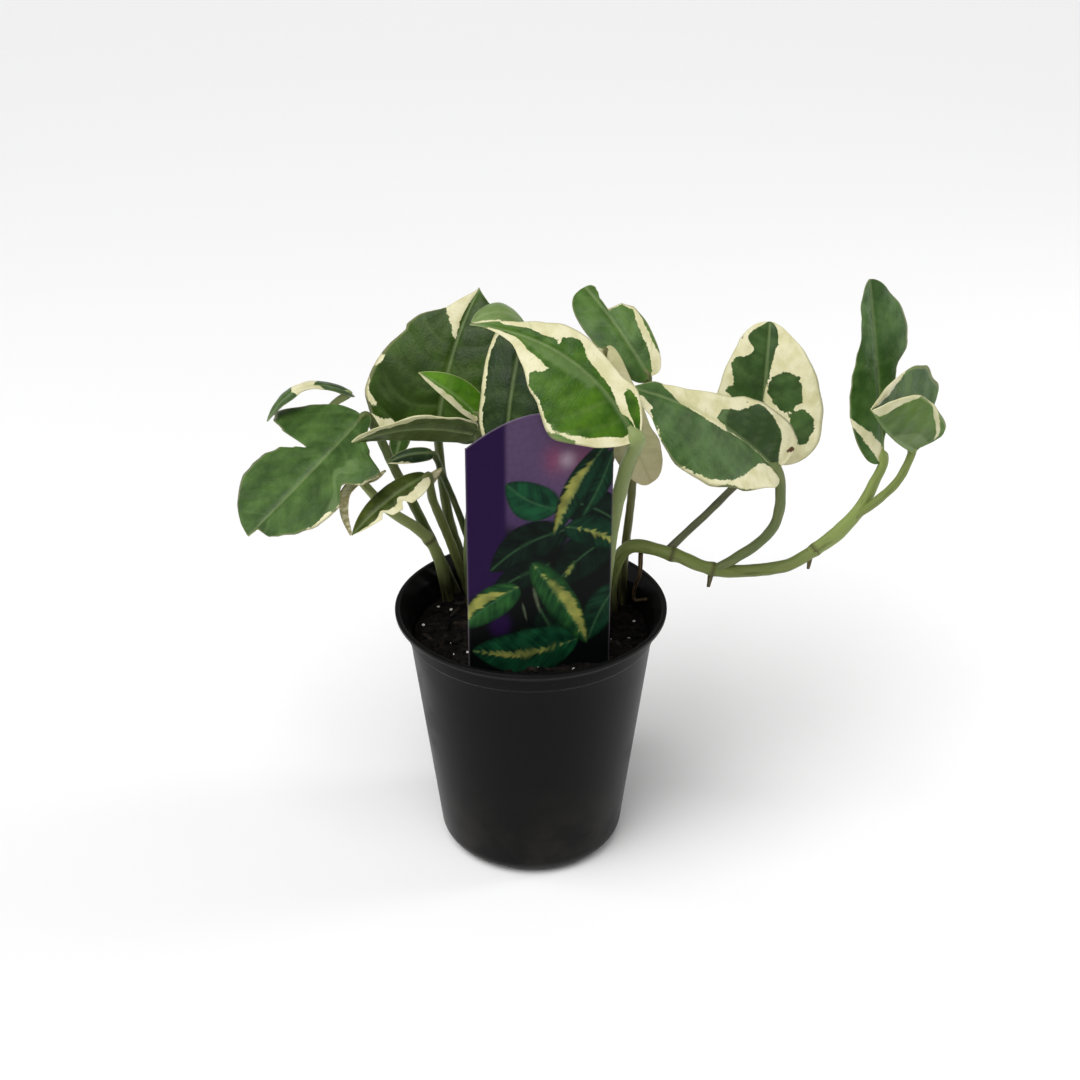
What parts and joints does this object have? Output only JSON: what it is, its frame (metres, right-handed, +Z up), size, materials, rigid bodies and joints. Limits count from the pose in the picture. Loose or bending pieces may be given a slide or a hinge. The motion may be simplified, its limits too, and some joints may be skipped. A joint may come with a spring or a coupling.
{
  "type": "potted pothos plant",
  "caption": "Variegated pothos in a black tapered nursery pot, with upright and arching leaves, a runner hanging out over the rim and a printed plant tag in the soil.",
  "frame": {"origin": "middle of the pot's flat underside, on the surface it stands on", "axes": "+Z up the pot's axis; +X towards the runner that hangs out over the rim; -Y towards the front, which the printed face of the tag looks to"},
  "size_m": [0.2883, 0.114, 0.2472],
  "materials": {
    "black_pot_plastic": "satin black moulded polypropylene",
    "potting_soil": "near-black peat with white perlite grains",
    "printed_tag": null,
    "variegated_leaf": "semi-gloss green with cream variegation",
    "cream_leaf": "semi-gloss cream, nearly without green",
    "petiole": "smooth, pale green to dark olive",
    "vine_stem": "smooth green with brown nodes",
    "dried_strand": "dry brown fibre"
  },
  "bodies": {
    "root": {"aerial_root_far": "vine_stem", "aerial_root_near": "vine_stem", "dried_strand": "dried_strand", "leaf_cream": "cream_leaf", "leaf_cupped": "variegated_leaf", "leaf_dark_small": "variegated_leaf", "leaf_far_left": "variegated_leaf", "leaf_far_right": "variegated_leaf", "leaf_folded": "variegated_leaf", "leaf_front": "variegated_leaf", "leaf_hanging_small": "variegated_leaf", "leaf_hump": "variegated_leaf", "leaf_left_back": "variegated_leaf", "leaf_left_low": "variegated_leaf", "leaf_left_upright": "variegated_leaf", "leaf_low_torn": "variegated_leaf", "leaf_new": "variegated_leaf", "leaf_pale_small": "variegated_leaf", "leaf_right_back": "variegated_leaf", "leaf_shaded": "variegated_leaf", "leaf_top": "variegated_leaf", "petiole_cream": "petiole", "petiole_cupped": "petiole", "petiole_dark_small": "petiole", "petiole_far_left": "petiole", "petiole_folded": "petiole", "petiole_front": "petiole", "petiole_hanging_small": "petiole", "petiole_hump": "petiole", "petiole_left_back": "petiole", "petiole_left_low": "petiole", "petiole_left_upright": "petiole", "petiole_low_torn": "petiole", "petiole_new": "petiole", "petiole_pale_small": "petiole", "petiole_right_back": "petiole", "petiole_shaded": "petiole", "petiole_top": "petiole", "plant_tag": "printed_tag", "pot": "black_pot_plastic", "runner": "vine_stem", "runner_end": "vine_stem", "soil": "potting_soil"}
  },
  "joints": []
}
